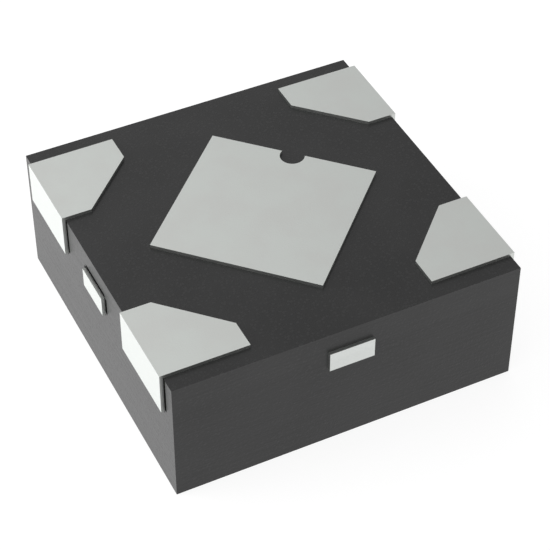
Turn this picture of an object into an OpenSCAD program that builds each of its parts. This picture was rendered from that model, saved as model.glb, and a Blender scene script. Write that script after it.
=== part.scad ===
// Linear voltage regulator in a moulded four-terminal no-lead package.
// The origin is the middle of the centre pad's soldering face, and all soldering
// faces lie in the plane z = 0, where a circuit board would be. The part lies on
// its marking face with its soldering side up, along +Z. Two leads come out of the
// +X side and two out of the -X side. Sizes are in millimetres.

/* [Moulding] */
// Length of the moulding, between the two sides that the leads come out of
body_x = 1; // [0.9:0.01:1.3]
// Width of the moulding, along those two sides
body_y = 1; // [0.82:0.01:1.3]
// Thickness of the moulding, from the marking face to the soldering side
body_t = 0.39; // [0.32:0.01:0.8]
// Radius of the pin 1 dot in the marking face
dot_r = 0.05; // [0.02:0.005:0.08]
// Depth of the pin 1 dot
dot_depth = 0.006; // [0.002:0.001:0.01]
// Distance of the dot's centre from the two sides next to it
dot_inset = 0.17; // [0.1:0.01:0.3]

/* [Etched sheet] */
// Thickness of the copper sheet that the pad and the leads are etched from
sheet_t = 0.13; // [0.1:0.005:0.16]
// Thickness left where the sheet is etched back from the soldering side
half_t = 0.06; // [0.04:0.005:0.08]
// Height of the soldering faces above the moulding
stand_off = 0.01; // [0.005:0.005:0.03]
// Length of the cut ends that stands out of the moulding's sides
side_proud = 0.01; // [0.005:0.005:0.03]
// Reach of the half-thick lips that lock the pad and the leads into the moulding
lock_lip = 0.03; // [0.015:0.005:0.04]

/* [Leads] */
// Length of a lead's soldering face inside the moulding's side
lead_l = 0.24; // [0.18:0.01:0.3]
// Width of a lead
lead_w = 0.25; // [0.2:0.01:0.3]
// Moulding between a lead and the end of its side
lead_edge = 0.05; // [0.03:0.01:0.08]
// Length that the slanted cut takes off each edge at the corner that faces the pad
lead_cut = 0.164; // [0.12:0.002:0.18]
// Distance of a lead's lip from the moulding's side
lip_setback = 0.05; // [0.03:0.01:0.08]

/* [Centre pad] */
// Side of the pad's square soldering face, which is turned 45 degrees
pad_w = 0.48; // [0.36:0.01:0.58]
// Radius of the notch that marks terminal 1
notch_r = 0.035; // [0.02:0.005:0.05]
// Distance of the notch's centre inside the pad's edge
notch_inset = 0.011; // [0:0.001:0.02]
// Width of the tie bars
tie_w = 0.13; // [0.08:0.01:0.16]

/* [Chip] */
// Thickness of the chip
die_t = 0.1; // [0.06:0.01:0.13]
// Distance of the chip's corners from the edge of the pad's inner face
die_rim = 0.02; // [0.016:0.002:0.06]
// Thickness of the paste under the chip
attach_t = 0.01; // [0.005:0.005:0.02]
// Reach of the paste past each side of the chip
attach_rim = 0.01; // [0.002:0.002:0.01]

/* [Bond wires] */
// Diameter of a wire
wire_d = 0.02; // [0.015:0.001:0.025]
// Diameter of the ball on the chip
ball_d = 0.044; // [0.036:0.002:0.056]
// Height of the ball
ball_h = 0.012; // [0.008:0.001:0.016]
// Distance of the ball's middle from the two sides of the chip next to it
ball_inset = 0.05; // [0.03:0.005:0.07]
// Height of the arch above the chip, at the wire's middle line
loop_rise = 0.07; // [0.05:0.005:0.075]
// Length of the stitch, where the wire is pressed flat on its lead
stitch_l = 0.06; // [0.045:0.005:0.08]
// Distance of the stitch's middle from the slanted cut of its lead
stitch_in = 0.03; // [0.02:0.005:0.06]

/* [Hidden] */

// Corners that the four terminals stand in, as the signs of X and Y
OUT = [1, 1];
GND = [1, -1];
EN = [-1, -1];
IN = [-1, 1];

// Levels of the moulding, the sheet, the paste and the chip
mold_z = -stand_off - body_t;
sheet_z = -sheet_t;
half_z = sheet_z + half_t;
attach_z = sheet_z - attach_t;
die_z = attach_z - die_t;

// Edges of the lead in the +X +Y corner
end_x = body_x / 2 + side_proud;
end_y = body_y / 2 + side_proud;
lead_x = body_x / 2 - lead_l;
lead_y2 = body_y / 2 - lead_edge;
lead_y1 = lead_y2 - lead_w;

// Half widths of the chip and of the paste. Both stay on the pad's inner face,
// a square turned 45 degrees whose corners lie on the axes.
inner_reach = (pad_w + 2 * lock_lip) / sqrt(2);
die_half = (inner_reach - die_rim * sqrt(2)) / 2;
attach_half = die_half + attach_rim;

// Places of the ball and of the stitch's middle in plan, in the +X +Y corner
ball_at = [die_half - ball_inset, die_half - ball_inset];
stitch_at = [lead_x, lead_y1] + [1, 1] * (lead_cut / 2 + stitch_in / sqrt(2));
wire_r = wire_d / 2;
wire_span = norm(stitch_at - ball_at) - stitch_l / 2;

// Number of sides of the notch and of the pin 1 dot
round_sides = 48;
// Number of sides of a wire, a multiple of 4 so that the stitch lies flat,
// and number of steps along its arch
wire_sides = 12;
arch_steps = 14;
flat_share = cos(180 / wire_sides);

// The ball, from the chip outwards: height as a share of ball_h, and radius as a share of the ball's
BALL = [[0, 0.8], [0.3, 1], [0.7, 1], [1, 0.72]];
// The neck above the ball, and the height at which the arch begins, as shares of ball_h
neck_at = 1.3;
arch_at = 1.6;
// Heights of the arch's two pulling points, as shares of loop_rise, and the second one's share of the span
arch_up = 1.7;
arch_over = 1.15;
arch_reach = 0.5;
// The stitch: place as a share of stitch_l, then half width and half height as shares of wire_r
STITCH = [[0.25, 1.3, 0.55], [0.6, 1.7, 0.34], [1, 1.5, 0.2]];

mold_colour = [0.25, 0.25, 0.255];
metal_colour = [0.76, 0.77, 0.76];
paste_colour = [0.62, 0.62, 0.6];
chip_colour = [0.3, 0.33, 0.42];
wire_colour = [0.93, 0.74, 0.35];

// Puts what is drawn for the +X +Y corner into another corner
module at_corner(signs) {
    mirror([signs.x < 0 ? 1 : 0, 0, 0])
        mirror([0, signs.y < 0 ? 1 : 0, 0])
            children();
}

// A piece of etched sheet: the first outline keeps the sheet's full thickness,
// and the second is etched back to half_t
module etched() {
    translate([0, 0, sheet_z]) {
        linear_extrude(sheet_t) children(0);
        linear_extrude(half_t) children(1);
    }
}

// A square of the given side, turned 45 degrees
module turned_square(side) {
    reach = side / sqrt(2);
    polygon([[reach, 0], [0, reach], [-reach, 0], [0, -reach]]);
}

// A lead's outline with one corner cut off, grown by a lip on its three inner edges
module lead_outline(lip, outer_x) {
    x = lead_x - lip;
    y = lead_y1 - lip;
    cut = lead_cut + lip * (2 - sqrt(2));
    polygon([[outer_x, y], [outer_x, lead_y2], [x, lead_y2], [x, y + cut], [x + cut, y]]);
}

module lead_form() {
    etched() {
        lead_outline(0, end_x);
        lead_outline(lock_lip, body_x / 2 - lip_setback);
    }
}

module tie_bars() {
    square([2 * end_x, tie_w], center = true);
    square([tie_w, 2 * end_y], center = true);
}

// The notch is etched from the soldering side only, so half the sheet stays under it
module pad_notch() {
    from_middle = (pad_w / 2 - notch_inset) / sqrt(2);
    translate([from_middle, from_middle, half_z])
        cylinder(r = notch_r, h = sheet_t, $fn = round_sides);
}

module pad_form() {
    difference() {
        etched() {
            turned_square(pad_w);
            union() {
                turned_square(pad_w + 2 * lock_lip);
                tie_bars();
            }
        }
        pad_notch();
    }
}

module plate(half, low, high) {
    translate([-half, -half, low])
        cube([2 * half, 2 * half, high - low]);
}

module attach_form() {
    plate(attach_half, attach_z, sheet_z);
}

module die_form() {
    plate(die_half, die_z, attach_z);
}

// A point of the arch in the wire's own upright plane: distance from the ball, and level
function arch_point(t) =
    let (
        s = 1 - t,
        p0 = [0, die_z - arch_at * ball_h],
        p1 = [0, die_z - arch_up * loop_rise],
        p2 = [arch_reach * wire_span, die_z - arch_over * loop_rise],
        p3 = [wire_span, sheet_z - wire_r]
    )
    s * s * s * p0 + 3 * s * s * t * p1 + 3 * s * t * t * p2 + t * t * t * p3;

// The angle between the wire and the chip's outward normal there
function arch_lean(t) =
    let (
        step = 0.01,
        ahead = arch_point(min(1, t + step)) - arch_point(max(0, t - step))
    )
    atan2(ahead.x, -ahead.y);

// Rings of a wire: distance from the ball, level, lean, half width and half height
function wire_rings() = concat(
    [for (b = BALL) [0, die_z - b[0] * ball_h, 0, b[1] * ball_d / 2, b[1] * ball_d / 2]],
    [[0, die_z - neck_at * ball_h, 0, wire_r, wire_r]],
    [for (k = [0:arch_steps])
        let (p = arch_point(k / arch_steps))
        [p.x, p.y, arch_lean(k / arch_steps), wire_r, wire_r]],
    [for (s = STITCH)
        [wire_span + s[0] * stitch_l, sheet_z - s[2] * wire_r * flat_share, 90,
         s[1] * wire_r, s[2] * wire_r]]
);

// The points of one ring, round the wire's middle line
function ring_points(ring, along, across) = [
    for (k = [0:wire_sides - 1])
        let (
            turn = (k + 0.5) * 360 / wire_sides,
            out = ring[0] + ring[4] * sin(turn) * cos(ring[2]),
            level = ring[1] + ring[4] * sin(turn) * sin(ring[2]),
            side = ring[3] * cos(turn),
            plan = ball_at + out * along + side * across
        )
        [plan.x, plan.y, level]
];

// One wire, swept from its ball to its stitch as a single skin
module wire_form() {
    along = (stitch_at - ball_at) / norm(stitch_at - ball_at);
    across = [-along.y, along.x];
    rings = wire_rings();
    last = (len(rings) - 1) * wire_sides;
    points = [for (ring = rings) each ring_points(ring, along, across)];
    skin = [
        for (j = [0:len(rings) - 2])
            for (k = [0:wire_sides - 1])
                let (
                    a = j * wire_sides + k,
                    b = j * wire_sides + (k + 1) % wire_sides
                )
                each [[a, a + wire_sides, b + wire_sides], [a, b + wire_sides, b]]
    ];
    foot = [for (k = [0:wire_sides - 1]) k];
    tip = [for (k = [wire_sides - 1:-1:0]) last + k];
    polyhedron(points, concat([foot, tip], skin), convexity = 4);
}

module pin_1_dot() {
    translate([body_x / 2 - dot_inset, body_y / 2 - dot_inset, mold_z - dot_depth])
        cylinder(r = dot_r, h = 2 * dot_depth, $fn = round_sides);
}

module mold_body() {
    color(mold_colour)
        difference() {
            translate([-body_x / 2, -body_y / 2, mold_z])
                cube([body_x, body_y, body_t]);
            pad_form();
            attach_form();
            die_form();
            for (corner = [OUT, GND, EN, IN])
                at_corner(corner) {
                    lead_form();
                    wire_form();
                }
            pin_1_dot();
        }
}

module die_pad() {
    color(metal_colour) pad_form();
}

module lead(corner) {
    color(metal_colour) at_corner(corner) lead_form();
}

module die_attach() {
    color(paste_colour) attach_form();
}

module die() {
    color(chip_colour) die_form();
}

module wire(corner) {
    color(wire_colour) at_corner(corner) wire_form();
}

module lead_out() { lead(OUT); }
module lead_gnd() { lead(GND); }
module lead_en() { lead(EN); }
module lead_in() { lead(IN); }
module wire_out() { wire(OUT); }
module wire_gnd() { wire(GND); }
module wire_en() { wire(EN); }
module wire_in() { wire(IN); }

mold_body();
die_pad();
lead_out();
lead_gnd();
lead_en();
lead_in();
die_attach();
die();
wire_out();
wire_gnd();
wire_en();
wire_in();
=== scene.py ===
"""Looks of a linear voltage regulator in a 1 mm square moulded no-lead package.

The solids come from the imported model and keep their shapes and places. This file gives each
of them its finish: sawn and moulded plastic, plated and etched sheet, silicon, silver paste
and drawn wire. It also sets the floor, the light and the camera. Lengths are in metres, and
in millimetres inside the materials.
"""

import functools
import math

import bpy
from bpy.props import FloatProperty, FloatVectorProperty, PointerProperty
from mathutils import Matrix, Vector


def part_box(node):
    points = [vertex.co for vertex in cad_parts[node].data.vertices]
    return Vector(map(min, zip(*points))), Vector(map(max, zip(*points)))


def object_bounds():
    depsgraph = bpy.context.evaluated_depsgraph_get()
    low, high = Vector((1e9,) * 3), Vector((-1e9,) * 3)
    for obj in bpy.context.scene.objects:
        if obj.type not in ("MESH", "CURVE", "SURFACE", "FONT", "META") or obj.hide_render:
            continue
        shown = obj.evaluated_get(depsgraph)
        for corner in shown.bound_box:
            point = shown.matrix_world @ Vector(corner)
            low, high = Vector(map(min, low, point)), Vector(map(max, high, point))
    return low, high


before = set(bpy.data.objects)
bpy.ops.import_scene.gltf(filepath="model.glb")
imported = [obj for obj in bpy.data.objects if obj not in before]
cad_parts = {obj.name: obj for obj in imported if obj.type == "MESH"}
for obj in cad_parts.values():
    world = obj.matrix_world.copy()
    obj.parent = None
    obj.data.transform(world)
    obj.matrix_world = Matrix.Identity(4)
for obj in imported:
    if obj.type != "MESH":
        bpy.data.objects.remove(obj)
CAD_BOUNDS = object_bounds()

bl_info = {
    "name": "Linear voltage regulator finish",
    "version": (1, 0, 0),
    "blender": (4, 5, 0),
    "location": "View3D > Sidebar > Regulator",
    "description": "Finishes the pieces of a four-terminal moulded voltage regulator",
    "category": "Object",
}

MM = 0.001
PER_MM = 1 / MM
SHEET_NODES = ("die_pad", "lead_out", "lead_gnd", "lead_en", "lead_in")
WIRE_NODES = ("wire_out", "wire_gnd", "wire_en", "wire_in")

# Lowest and highest corner of the moulding, and depth of its pin 1 dot, in millimetres
MOULD_LOW, MOULD_HIGH = ([length * PER_MM for length in corner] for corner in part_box("mold_body"))
DOT_DEPTH = 0.006
# How much deeper the saw's lines are than the grain that they cross
SAW_DEPTH = 1.5
# Colour sockets of the Mix node, whose names its other kinds share
MIX_A, MIX_B, MIX_RESULT = 6, 7, 2
WHITE = (1, 1, 1, 1)


class Nodes:
    """Short calls that make and join the nodes of one node tree."""

    def __init__(self, tree):
        self.tree = tree

    def feed(self, socket, value):
        """Joins a socket to another one, or sets it to a plain value."""
        if isinstance(value, bpy.types.NodeSocket):
            self.tree.links.new(value, socket)
        else:
            socket.default_value = value

    def add(self, kind, inputs=(), **settings):
        """A new node with its settings, and its inputs given by name or by number."""
        node = self.tree.nodes.new(kind)
        for name, value in settings.items():
            setattr(node, name, value)
        for name, value in dict(inputs).items():
            self.feed(node.inputs[name], value)
        return node

    def math(self, operation, *values):
        """The result of a Math node."""
        return self.add("ShaderNodeMath", enumerate(values), operation=operation).outputs[0]

    def vector(self, operation, *values):
        """The resulting vector of a Vector Math node."""
        return self.add("ShaderNodeVectorMath", enumerate(values), operation=operation).outputs[0]

    def scaled(self, vector, factor):
        """A vector times a number."""
        node = self.add("ShaderNodeVectorMath", {0: vector, "Scale": factor}, operation="SCALE")
        return node.outputs[0]

    def split(self, vector):
        """The three numbers of a vector."""
        return self.add("ShaderNodeSeparateXYZ", {0: vector}).outputs

    def join(self, x, y, z):
        """A vector of three numbers."""
        return self.add("ShaderNodeCombineXYZ", {0: x, 1: y, 2: z}).outputs[0]

    def noise(self, vector, scale, detail=2.0, roughness=0.5):
        """Soft noise from 0 to 1."""
        inputs = {"Vector": vector, "Scale": scale, "Detail": detail, "Roughness": roughness}
        return self.add("ShaderNodeTexNoise", inputs).outputs["Fac"]

    def ramp(self, value, start, stop, low=0.0, high=1.0):
        """Maps a value that goes from start to stop onto low to high, with soft ends."""
        inputs = {"Value": value, "From Min": start, "From Max": stop, "To Min": low, "To Max": high}
        return self.add("ShaderNodeMapRange", inputs, interpolation_type="SMOOTHSTEP").outputs[0]

    def facing(self, share):
        """Mask of the faces whose normal has over half its length along an axis."""
        half, softness = 0.5, 0.1
        return self.ramp(share, half - softness, half + softness)

    def shift(self, mask, amount, value):
        """A value plus an amount of a mask."""
        return self.math("MULTIPLY_ADD", mask, amount, value)

    def blend(self, factor, a, b):
        """A colour between a and b."""
        node = self.add("ShaderNodeMix", {"Factor": factor}, data_type="RGBA")
        for socket, colour in ((MIX_A, a), (MIX_B, b)):
            given = isinstance(colour, bpy.types.NodeSocket)
            self.feed(node.inputs[socket], colour if given else (*colour, 1))
        return node.outputs[MIX_RESULT]

    def group(self, effect_tree, **inputs):
        """An effect's outputs, with its inputs given by their names in lower case."""
        node = self.add("ShaderNodeGroup", node_tree=effect_tree())
        for name, value in inputs.items():
            self.feed(node.inputs[name.capitalize()], value)
        return node.outputs


def effect(inputs, outputs):
    """Makes a function that fills a node tree into one that gives its node group, built once."""

    def decorate(fill):
        @functools.wraps(fill)
        def effect_tree():
            tree = bpy.data.node_groups.get(fill.__name__)
            if tree is None:
                tree = bpy.data.node_groups.new(fill.__name__, "ShaderNodeTree")
                for label, default in inputs.items():
                    kind = "NodeSocketFloat" if isinstance(default, float) else "NodeSocketVector"
                    socket = tree.interface.new_socket(label, in_out="INPUT", socket_type=kind)
                    socket.default_value = default
                for label in outputs:
                    tree.interface.new_socket(label, in_out="OUTPUT", socket_type="NodeSocketFloat")
                nodes = Nodes(tree)
                given = nodes.add("NodeGroupInput").outputs
                fill(nodes, given, nodes.add("NodeGroupOutput").inputs)
            return tree

        return effect_tree

    return decorate


@effect({"Position": (0, 0, 0), "Size": 0.01}, ("Grains", "Height"))
def fine_grain(nodes, given, result):
    """Small round grains or flakes in a fine uneven ground: a mask of them, and a height."""
    edge, middle = 0.42, 0.18
    ground_fineness = 2.3
    grain_height = 0.35
    cells = nodes.math("DIVIDE", 1.0, given["Size"])
    inputs = {"Vector": given["Position"], "Scale": cells, "Randomness": 1.0}
    distance = nodes.add("ShaderNodeTexVoronoi", inputs, feature="F1").outputs["Distance"]
    grains = nodes.ramp(distance, edge, middle)
    fine = nodes.math("MULTIPLY", cells, ground_fineness)
    ground = nodes.noise(given["Position"], fine, detail=3.0)
    nodes.feed(result["Grains"], grains)
    nodes.feed(result["Height"], nodes.shift(grains, grain_height, ground))


@effect({"Position": (0, 0, 0), "Normal": (0, 0, 1), "Pitch": 0.01}, ("Sides", "Lines"))
def saw_lines(nodes, given, result):
    """Lines that the saw leaves on upright faces: a mask of those faces, and the lines there."""
    sway_scale, sway_depth = 1.6, 0.03
    streak_scale = 2.2
    x, y, z = nodes.split(given["Position"])
    level = nodes.facing(nodes.math("ABSOLUTE", nodes.split(given["Normal"])[2]))
    sides = nodes.math("SUBTRACT", 1.0, level)
    sway = nodes.noise(given["Position"], sway_scale, detail=1.0)
    rows = nodes.math("DIVIDE", nodes.shift(sway, sway_depth, z), given["Pitch"])
    streak_x = nodes.math("MULTIPLY", x, streak_scale)
    streak_y = nodes.math("MULTIPLY", y, streak_scale)
    lines = nodes.noise(nodes.join(streak_x, streak_y, rows), 1.0, detail=3.0, roughness=0.6)
    nodes.feed(result["Sides"], sides)
    nodes.feed(result["Lines"], nodes.math("MULTIPLY", lines, sides))


@effect({"Position": (0, 0, 0), "Size": 0.1}, ("Clouds",))
def mottle(nodes, given, result):
    """Broad soft clouds with a finer cloud in them, from 0 to 1."""
    fineness, fine_share = 4.0, 0.3
    darkest, lightest = 0.45, 0.85
    scale = nodes.math("DIVIDE", 1.0, given["Size"])
    fine_scale = nodes.math("MULTIPLY", scale, fineness)
    broad = nodes.noise(given["Position"], scale, detail=1.0)
    fine = nodes.noise(given["Position"], fine_scale, detail=3.0, roughness=0.6)
    clouds = nodes.ramp(nodes.shift(fine, fine_share, broad), darkest, lightest)
    nodes.feed(result["Clouds"], clouds)


@effect(
    {"Position": (0, 0, 0), "Normal": (0, 0, 1), "Low": (0, 0, 0), "High": (1, 1, 1), "Width": 0.01},
    ("Rim shade",),
)
def painted_rim_shade(nodes, given, result):
    """Mask of painted shade in a narrow rim round a box that stands out of a face that looks along X.

    The box is given at +X +Y and holds for its mirror images too. The painted shade ends at the
    box's corners, past which the distance is made to grow fast.
    """
    softness = 0.1
    corner_push = 8.0
    x, y, z = nodes.split(given["Position"])
    folded = nodes.join(nodes.math("ABSOLUTE", x), nodes.math("ABSOLUTE", y), z)
    below = nodes.vector("SUBTRACT", given["Low"], folded)
    above = nodes.vector("SUBTRACT", folded, given["High"])
    outside = nodes.vector("MAXIMUM", nodes.vector("MAXIMUM", below, above), (0, 0, 0))
    inward, beside, over = nodes.split(outside)
    corner = nodes.math("MULTIPLY", nodes.math("MINIMUM", beside, over), corner_push)
    sideways = nodes.math("ADD", nodes.math("MAXIMUM", beside, over), corner)
    away = nodes.math("DIVIDE", nodes.math("MAXIMUM", inward, sideways), given["Width"])
    near = nodes.ramp(away, 1 + softness, 1 - softness)
    along_x = nodes.facing(nodes.math("ABSOLUTE", nodes.split(given["Normal"])[0]))
    nodes.feed(result["Rim shade"], nodes.math("MULTIPLY", near, along_x))


def new_material(name):
    """An empty material, the calls for its nodes, and its Principled shader."""
    material = bpy.data.materials.new(name)
    material.use_nodes = True
    return material, Nodes(material.node_tree), material.node_tree.nodes["Principled BSDF"]


def surface(nodes):
    """The place on a piece, in millimetres, and the direction that the piece faces there."""
    coordinates = nodes.add("ShaderNodeTexCoord").outputs
    return nodes.scaled(coordinates["Object"], PER_MM), coordinates["Normal"]


def bump(nodes, shader, height, depth):
    """Feeds a height to the shader's normal. A height of 1 stands for the depth, in metres."""
    node = nodes.add("ShaderNodeBump", {"Strength": 1.0, "Distance": depth, "Height": height})
    nodes.feed(shader.inputs["Normal"], node.outputs[0])


def shades(colour, spread):
    """A colour's darker and lighter neighbours."""
    return [part * (1 - spread) for part in colour], [min(1.0, part * (1 + spread)) for part in colour]


def dress(node, material):
    """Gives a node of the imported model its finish."""
    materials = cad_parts[node].data.materials
    materials.clear()
    materials.append(material)


def proud_end(node):
    """The corners of the end with which a node stands out of the moulding's +X side, in mm."""
    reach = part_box(node)[1][0]
    nearly = 0.001 * MM
    points = [vertex.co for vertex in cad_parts[node].data.vertices]
    face = [point for point in points if reach - point.x < nearly]
    low = [min(point[axis] for point in face) * PER_MM for axis in range(3)]
    high = [max(point[axis] for point in face) * PER_MM for axis in range(3)]
    return (MOULD_HIGH[0], *low[1:]), high


def painted_end_shade(nodes, place, normal, width):
    """Mask of painted shade round the sawn metal ends, on the moulding's faces along X.

    The painted shade is narrower under its end, and stops a little over the end's lower corners.
    """
    lift = 0.006
    mask = 0.0
    for node in ("lead_out", "die_pad"):
        (x, y, z), high = proud_end(node)
        low = (x, y, z + lift)
        gap = nodes.group(painted_rim_shade, position=place, normal=normal, low=low, high=high, width=width)
        mask = nodes.math("MAXIMUM", mask, gap["Rim shade"])
    return mask


def dot_floor(nodes, place, normal):
    """Mask of the pin 1 dot's floor, which faces down."""
    far, near = DOT_DEPTH / 2, DOT_DEPTH / 3
    level = MOULD_LOW[2] + DOT_DEPTH
    away = nodes.math("ABSOLUTE", nodes.math("SUBTRACT", nodes.split(place)[2], level))
    down = nodes.facing(nodes.math("MULTIPLY", nodes.split(normal)[2], -1.0))
    return nodes.math("MULTIPLY", nodes.ramp(away, far, near), down)


def sawn_ends(nodes, place, normal):
    """Mask of the sheet's sawn ends, which face outward where they stand out of the moulding."""
    least_proud = 0.002
    mask = 0.0
    for axis in range(2):
        away = nodes.math("ABSOLUTE", nodes.split(place)[axis])
        proud = nodes.ramp(nodes.math("SUBTRACT", away, MOULD_HIGH[axis]), 0.0, least_proud)
        outward = nodes.facing(nodes.math("ABSOLUTE", nodes.split(normal)[axis]))
        mask = nodes.math("MAXIMUM", mask, nodes.math("MULTIPLY", proud, outward))
    return mask


def moulding_material(look):
    """Black moulding compound, satin on its moulded faces and finely lined where it was sawn.

    Beside the raised sawn metal ends it is painted with shade: a dark and fully rough metal, which
    gives back almost no light.
    """
    cloud_share = 0.5
    rougher_grain, rougher_lines = 0.05, 0.08
    material, nodes, shader = new_material("moulding")
    place, normal = surface(nodes)
    grain = nodes.group(fine_grain, position=place, size=look.grain * PER_MM)
    saw = nodes.group(saw_lines, position=place, normal=normal, pitch=look.saw_pitch * PER_MM)
    cloud = nodes.group(mottle, position=place, size=look.mottle * PER_MM)["Clouds"]
    # Painted shade in a narrow rim round each raised sawn metal end
    gap = painted_end_shade(nodes, place, normal, look.gap * PER_MM)
    dot = dot_floor(nodes, place, normal)
    dark, light = shades(look.colour, look.contrast)
    tone = nodes.blend(grain["Grains"], dark, light)
    tone = nodes.blend(nodes.math("MULTIPLY", cloud, cloud_share), tone, light)
    # The painted shade turns the colour near black and the surface into a rough dark metal
    nodes.feed(shader.inputs["Base Color"], nodes.blend(gap, tone, look.rim_shade_colour))
    nodes.feed(shader.inputs["Metallic"], gap)
    rough = nodes.shift(grain["Grains"], rougher_grain, look.roughness)
    rough = nodes.shift(saw["Lines"], rougher_lines, rough)
    rough = nodes.shift(dot, look.dot_roughness - look.roughness, rough)
    nodes.feed(shader.inputs["Roughness"], nodes.math("MAXIMUM", rough, gap))
    shader.inputs["IOR"].default_value = look.index
    bump(nodes, shader, nodes.shift(saw["Lines"], SAW_DEPTH, grain["Height"]), look.relief)
    return material


def sheet_material(look):
    """Etched copper sheet with a matte pale plating, duller and finely lined where it was sawn."""
    rougher_cloud, rougher_grain = 0.05, 0.03
    material, nodes, shader = new_material("plated_sheet")
    place, normal = surface(nodes)
    cloud = nodes.group(mottle, position=place, size=look.mottle * PER_MM)["Clouds"]
    grain = nodes.group(fine_grain, position=place, size=look.grain * PER_MM)
    saw = nodes.group(saw_lines, position=place, normal=normal, pitch=look.saw_pitch * PER_MM)
    sawn = sawn_ends(nodes, place, normal)
    plated = nodes.blend(cloud, look.colour, look.second_colour)
    nodes.feed(shader.inputs["Base Color"], nodes.blend(sawn, plated, look.sawn_colour))
    nodes.feed(shader.inputs["Metallic"], nodes.shift(sawn, -look.sawn_haze, 1.0))
    rough = nodes.shift(cloud, rougher_cloud, look.roughness)
    rough = nodes.shift(grain["Grains"], rougher_grain, rough)
    rough = nodes.shift(sawn, look.sawn_roughness - look.roughness, rough)
    nodes.feed(shader.inputs["Roughness"], rough)
    lines = nodes.math("MULTIPLY", saw["Lines"], sawn)
    bump(nodes, shader, nodes.shift(lines, SAW_DEPTH, grain["Height"]), look.relief)
    return material


def silicon_material(look):
    """Ground and polished silicon, with a faint cloud in its gloss and lines on its sawn sides."""
    metal_share = 0.85
    rougher_sides, rougher_cloud = 0.25, 0.05
    material, nodes, shader = new_material("silicon")
    place, normal = surface(nodes)
    cloud = nodes.group(mottle, position=place, size=look.mottle * PER_MM)["Clouds"]
    saw = nodes.group(saw_lines, position=place, normal=normal, pitch=look.saw_pitch * PER_MM)
    dark, light = shades(look.colour, look.contrast)
    nodes.feed(shader.inputs["Base Color"], nodes.blend(cloud, dark, light))
    shader.inputs["Metallic"].default_value = metal_share
    rough = nodes.shift(saw["Sides"], rougher_sides, look.roughness)
    nodes.feed(shader.inputs["Roughness"], nodes.shift(cloud, rougher_cloud, rough))
    bump(nodes, shader, saw["Lines"], look.relief)
    return material


def paste_material(look):
    """Cured silver paste: dull grey resin crowded with bright flakes."""
    resin_metal, more_flake_metal = 0.3, 0.5
    smoother_flakes = -0.2
    material, nodes, shader = new_material("silver_paste")
    place, _ = surface(nodes)
    grain = nodes.group(fine_grain, position=place, size=look.flake * PER_MM)
    dark, light = shades(look.colour, look.contrast)
    nodes.feed(shader.inputs["Base Color"], nodes.blend(grain["Grains"], dark, light))
    metal = nodes.shift(grain["Grains"], more_flake_metal, resin_metal)
    nodes.feed(shader.inputs["Metallic"], metal)
    rough = nodes.shift(grain["Grains"], smoother_flakes, look.roughness)
    nodes.feed(shader.inputs["Roughness"], rough)
    bump(nodes, shader, grain["Height"], look.relief)
    return material


def wire_material(look):
    """Soft drawn gold wire with a faint satin cloud."""
    rougher_cloud = 0.1
    material, nodes, shader = new_material("bond_wire")
    place, _ = surface(nodes)
    cloud = nodes.group(mottle, position=place, size=look.mottle * PER_MM)["Clouds"]
    dark, light = shades(look.colour, look.contrast)
    nodes.feed(shader.inputs["Base Color"], nodes.blend(cloud, dark, light))
    shader.inputs["Metallic"].default_value = 1.0
    nodes.feed(shader.inputs["Roughness"], nodes.shift(cloud, rougher_cloud, look.roughness))
    bump(nodes, shader, cloud, look.relief)
    return material


def number_property(name, description, default, unit="NONE"):
    """A number that isn't negative."""
    return FloatProperty(
        name=name, description=description, default=default, min=0, unit=unit, precision=6
    )


def size_property(name, description, default):
    """A length."""
    return number_property(name, description, default, unit="LENGTH")


def share_property(name, description, default):
    """A share from 0 to 1."""
    return FloatProperty(
        name=name, description=description, default=default, min=0, max=1, subtype="FACTOR"
    )


def angle_property(name, description, degrees):
    """An angle, given here in degrees."""
    return FloatProperty(
        name=name, description=description, default=math.radians(degrees), subtype="ANGLE"
    )


def colour_property(name, description, default):
    """A colour."""
    return FloatVectorProperty(
        name=name, description=description, default=default, min=0, max=1, subtype="COLOR"
    )


def place_property(name, description, default):
    """A point."""
    return FloatVectorProperty(
        name=name, description=description, default=default, subtype="XYZ", unit="LENGTH", precision=6
    )


class MouldingSettings(bpy.types.PropertyGroup):
    """Finish of the moulded block."""

    colour: colour_property("Colour", "Colour of the moulding compound", (0.0115, 0.0115, 0.0118))
    contrast: share_property("Contrast", "How far the filler grains stand out in tone", 0.3)
    roughness: share_property("Roughness", "Roughness of the block's faces", 0.27)
    dot_roughness: share_property("Dot roughness", "Roughness of the pin 1 dot's floor", 0.12)
    index: number_property("Index", "Refractive index of the compound", 1.45)
    grain: size_property("Grain", "Size of the filler grains", 0.011 * MM)
    mottle: size_property("Mottle", "Size of the clouds in the tone", 0.22 * MM)
    saw_pitch: size_property("Saw pitch", "Distance between the saw's lines", 0.012 * MM)
    relief: size_property("Relief", "Depth of the grain and the lines", 0.0003 * MM)
    # Painted shade: width and colour of the dark rim beside each raised sawn metal end
    gap: size_property("Rim shade", "Width of the dark gap round each sawn metal end", 0.012 * MM)
    rim_shade_colour: colour_property("Gap colour", "Colour deep in that gap", (0.003, 0.003, 0.003))


class SheetSettings(bpy.types.PropertyGroup):
    """Finish of the pad and the four leads."""

    colour: colour_property("Colour", "Colour of the plating", (0.64, 0.666, 0.642))
    second_colour: colour_property(
        "Second colour", "Colour of the clouds in the plating", (0.63, 0.645, 0.624)
    )
    roughness: share_property("Roughness", "Roughness of the plating", 0.34)
    mottle: size_property("Mottle", "Size of the clouds in the plating", 0.12 * MM)
    grain: size_property("Grain", "Size of the plating's crystals", 0.007 * MM)
    sawn_colour: colour_property("Sawn colour", "Colour of the sawn ends", (0.70, 0.722, 0.703))
    sawn_haze: share_property("Sawn haze", "How matte the sawn ends are", 0.4)
    sawn_roughness: share_property("Sawn roughness", "Roughness of the sawn ends", 0.45)
    saw_pitch: size_property("Saw pitch", "Distance between the saw's lines", 0.009 * MM)
    relief: size_property("Relief", "Depth of the grain and the lines", 0.0002 * MM)


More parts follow.
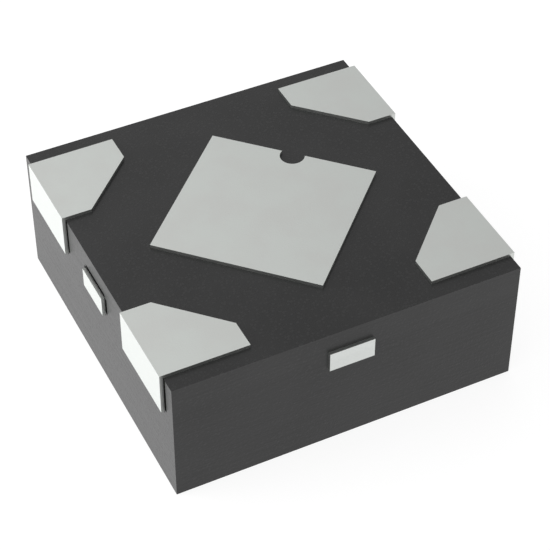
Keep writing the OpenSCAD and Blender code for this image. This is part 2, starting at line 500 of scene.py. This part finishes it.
class ChipSettings(bpy.types.PropertyGroup):
    """Finish of the silicon chip."""

    colour: colour_property("Colour", "Colour of the silicon", (0.11, 0.13, 0.2))
    contrast: share_property("Contrast", "How far the clouds stand out in tone", 0.12)
    roughness: share_property("Roughness", "Roughness of the polished face", 0.12)
    mottle: size_property("Mottle", "Size of the clouds in the gloss", 0.08 * MM)
    saw_pitch: size_property("Saw pitch", "Distance between the saw's lines", 0.006 * MM)
    relief: size_property("Relief", "Depth of the saw's lines", 0.0004 * MM)


class PasteSettings(bpy.types.PropertyGroup):
    """Finish of the silver paste under the chip."""

    colour: colour_property("Colour", "Colour of the silver paste", (0.36, 0.36, 0.34))
    contrast: share_property("Contrast", "How far the flakes stand out in tone", 0.3)
    roughness: share_property("Roughness", "Roughness of the resin between the flakes", 0.65)
    flake: size_property("Flake", "Size of the silver flakes", 0.006 * MM)
    relief: size_property("Relief", "Height of the flakes", 0.001 * MM)


class WireSettings(bpy.types.PropertyGroup):
    """Finish of the four bond wires."""

    colour: colour_property("Colour", "Colour of the bond wires", (0.85, 0.55, 0.17))
    contrast: share_property("Contrast", "How far the clouds stand out in tone", 0.06)
    roughness: share_property("Roughness", "Roughness of the drawn wire", 0.22)
    mottle: size_property("Mottle", "Size of the satin clouds", 0.02 * MM)
    relief: size_property("Relief", "Depth of the clouds", 0.0003 * MM)


class StageSettings(bpy.types.PropertyGroup):
    """Floor, light and camera."""

    floor_colour: colour_property("Floor", "Colour of the floor", (0.85, 0.85, 0.85))
    floor_size: size_property("Floor size", "Side of the square floor", 60 * MM)
    floor_shading: share_property("Floor shading", "Share of its light and shade that shows", 0.25)
    floor_white: share_property("Floor white", "Even white that the floor shows besides", 0.84)
    sky: number_property("Sky", "Brightness of the soft light at the left", 1.05)
    dim_sky: number_property("Dim sky", "Brightness of the soft light at the right", 0.48)
    lamp_place: place_property("Lamp place", "Middle of the soft lamp", (-5 * MM, 2.2 * MM, 1.1 * MM))
    lamp_width: size_property("Lamp width", "Width of the soft lamp", 5 * MM)
    lamp_height: size_property("Lamp height", "Height of the soft lamp", 2.4 * MM)
    lamp_power: number_property("Lamp power", "Power of the soft lamp", 2.8e-4, unit="POWER")
    azimuth: angle_property("Azimuth", "The camera's way round the part", -26.17)
    elevation: angle_property("Elevation", "The camera's height over the part", 43.54)
    distance: size_property("Distance", "From the camera to the point that it looks at", 5.235 * MM)
    aim: place_property(
        "Aim", "Point that the camera looks at", (-0.0008 * MM, -0.0605 * MM, -0.2 * MM)
    )
    lens: number_property("Lens", "The camera's focal length in millimetres", 124.57, unit="CAMERA")


class RegulatorSettings(bpy.types.PropertyGroup):
    """All settings of the part and its stage."""

    moulding: PointerProperty(type=MouldingSettings, name="Moulding", description="The moulded block")
    sheet: PointerProperty(type=SheetSettings, name="Sheet", description="The pad and the leads")
    chip: PointerProperty(type=ChipSettings, name="Chip", description="The silicon chip")
    paste: PointerProperty(type=PasteSettings, name="Paste", description="The paste under the chip")
    wire: PointerProperty(type=WireSettings, name="Wires", description="The four bond wires")
    stage: PointerProperty(type=StageSettings, name="Stage", description="The floor, light and camera")


class FinishMoulding(bpy.types.Operator):
    """Finish the moulded block"""

    bl_idname = "regulator.finish_moulding"
    bl_label = "Finish moulding"

    def execute(self, context):
        dress("mold_body", moulding_material(context.scene.regulator.moulding))
        return {"FINISHED"}


class FinishSheet(bpy.types.Operator):
    """Finish the pad and the four leads"""

    bl_idname = "regulator.finish_sheet"
    bl_label = "Finish pad and leads"

    def execute(self, context):
        material = sheet_material(context.scene.regulator.sheet)
        for node in SHEET_NODES:
            dress(node, material)
        return {"FINISHED"}


class FinishChip(bpy.types.Operator):
    """Finish the silicon chip"""

    bl_idname = "regulator.finish_chip"
    bl_label = "Finish chip"

    def execute(self, context):
        dress("die", silicon_material(context.scene.regulator.chip))
        return {"FINISHED"}


class FinishPaste(bpy.types.Operator):
    """Finish the silver paste under the chip"""

    bl_idname = "regulator.finish_paste"
    bl_label = "Finish paste"

    def execute(self, context):
        dress("die_attach", paste_material(context.scene.regulator.paste))
        return {"FINISHED"}


class FinishWires(bpy.types.Operator):
    """Finish the four bond wires"""

    bl_idname = "regulator.finish_wires"
    bl_label = "Finish bond wires"

    def execute(self, context):
        material = wire_material(context.scene.regulator.wire)
        for node in WIRE_NODES:
            dress(node, material)
        return {"FINISHED"}


def link(thing):
    """Puts an object into the scene."""
    bpy.context.scene.collection.objects.link(thing)


def turned_back(direction):
    """The turn of a lamp or a camera whose back looks along a direction."""
    return Vector(direction).to_track_quat("Z", "Y").to_euler()


def make_floor(stage):
    """A pale floor under the part. It looks white in the open and keeps a faint shadow.

    Where the camera or a reflection sees it, it glows evenly and is lit only in part.
    """
    matte = 0.9
    half = stage.floor_size / 2
    level = CAD_BOUNDS[0][2]
    plan = ((-half, -half), (half, -half), (half, half), (-half, half))
    mesh = bpy.data.meshes.new("floor")
    mesh.from_pydata([(x, y, level) for x, y in plan], [], [(0, 1, 2, 3)])
    floor = bpy.data.objects.new("floor", mesh)
    link(floor)
    material, nodes, shader = new_material("floor")
    path = nodes.add("ShaderNodeLightPath").outputs
    seen = nodes.math("MAXIMUM", path["Is Camera Ray"], path["Is Glossy Ray"])
    shaded = [stage.floor_shading * part for part in stage.floor_colour]
    nodes.feed(shader.inputs["Base Color"], nodes.blend(seen, stage.floor_colour, shaded))
    shader.inputs["Roughness"].default_value = matte
    shader.inputs["Specular IOR Level"].default_value = 0.0
    shader.inputs["Emission Color"].default_value = WHITE
    glow = nodes.math("MULTIPLY", seen, stage.floor_white)
    nodes.feed(shader.inputs["Emission Strength"], glow)
    mesh.materials.append(material)


def make_light(stage):
    """Soft light from all round, brighter from the left, and white where the camera sees it."""
    bright_up_to, dim_from = -0.05, 0.75
    world = bpy.data.worlds.new("studio")
    bpy.context.scene.world = world
    world.use_nodes = True
    nodes = Nodes(world.node_tree)
    side = nodes.split(nodes.add("ShaderNodeTexCoord").outputs["Generated"])[0]
    level = nodes.ramp(side, bright_up_to, dim_from, stage.sky, stage.dim_sky)
    seen = nodes.add("ShaderNodeLightPath").outputs["Is Camera Ray"]
    background = world.node_tree.nodes["Background"]
    background.inputs["Color"].default_value = WHITE
    nodes.feed(background.inputs["Strength"], nodes.math("MAXIMUM", level, seen))


def make_lamp(stage):
    """A soft lamp at the left, a little behind the part. It lights matte faces only."""
    data = bpy.data.lights.new("key", "AREA")
    data.shape = "RECTANGLE"
    data.size = stage.lamp_width
    data.size_y = stage.lamp_height
    data.energy = stage.lamp_power
    lamp = bpy.data.objects.new("key", data)
    link(lamp)
    lamp.visible_glossy = False
    lamp.location = stage.lamp_place
    lamp.rotation_euler = turned_back(stage.lamp_place)


def make_camera(stage):
    """The camera at the photograph's viewing angle."""
    data = bpy.data.cameras.new("camera")
    data.lens = stage.lens
    data.clip_start = 0.01 * MM
    data.clip_end = 200 * MM
    camera = bpy.data.objects.new("camera", data)
    link(camera)
    outward = math.cos(stage.elevation)
    back = Vector((
        math.sin(stage.azimuth) * outward,
        -math.cos(stage.azimuth) * outward,
        math.sin(stage.elevation),
    ))
    camera.location = Vector(stage.aim) + back * stage.distance
    camera.rotation_euler = turned_back(back)
    bpy.context.scene.camera = camera


class SetStage(bpy.types.Operator):
    """Set the floor, the light and the camera"""

    bl_idname = "regulator.set_stage"
    bl_label = "Set stage"

    def execute(self, context):
        stage = context.scene.regulator.stage
        make_floor(stage)
        make_light(stage)
        make_lamp(stage)
        make_camera(stage)
        context.scene.view_settings.view_transform = "Standard"
        return {"FINISHED"}


class RegulatorPanel(bpy.types.Panel):
    """Lists the steps that finish the part"""

    bl_idname = "VIEW3D_PT_regulator"
    bl_label = "Voltage regulator"
    bl_space_type = "VIEW_3D"
    bl_region_type = "UI"
    bl_category = "Regulator"

    def draw(self, context):
        for operator, name in STEPS:
            box = self.layout.box()
            settings = getattr(context.scene.regulator, name)
            for setting in settings.bl_rna.properties.keys():
                if setting not in ("rna_type", "name"):
                    box.prop(settings, setting)
            box.operator(operator.bl_idname)


STEPS = (
    (FinishMoulding, "moulding"),
    (FinishSheet, "sheet"),
    (FinishChip, "chip"),
    (FinishPaste, "paste"),
    (FinishWires, "wire"),
    (SetStage, "stage"),
)
CLASSES = (
    MouldingSettings,
    SheetSettings,
    ChipSettings,
    PasteSettings,
    WireSettings,
    StageSettings,
    RegulatorSettings,
    *(operator for operator, _ in STEPS),
    RegulatorPanel,
)


def register():
    """Makes the settings, the steps and the panel known to Blender."""
    for cls in CLASSES:
        bpy.utils.register_class(cls)
    bpy.types.Scene.regulator = PointerProperty(type=RegulatorSettings)


def unregister():
    """Takes them out again."""
    del bpy.types.Scene.regulator
    for cls in reversed(CLASSES):
        bpy.utils.unregister_class(cls)


def main():
    """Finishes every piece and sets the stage."""
    register()
    bpy.ops.regulator.finish_moulding()
    bpy.ops.regulator.finish_sheet()
    bpy.ops.regulator.finish_chip()
    bpy.ops.regulator.finish_paste()
    bpy.ops.regulator.finish_wires()
    bpy.ops.regulator.set_stage()


if __name__ == "__main__":
    main()
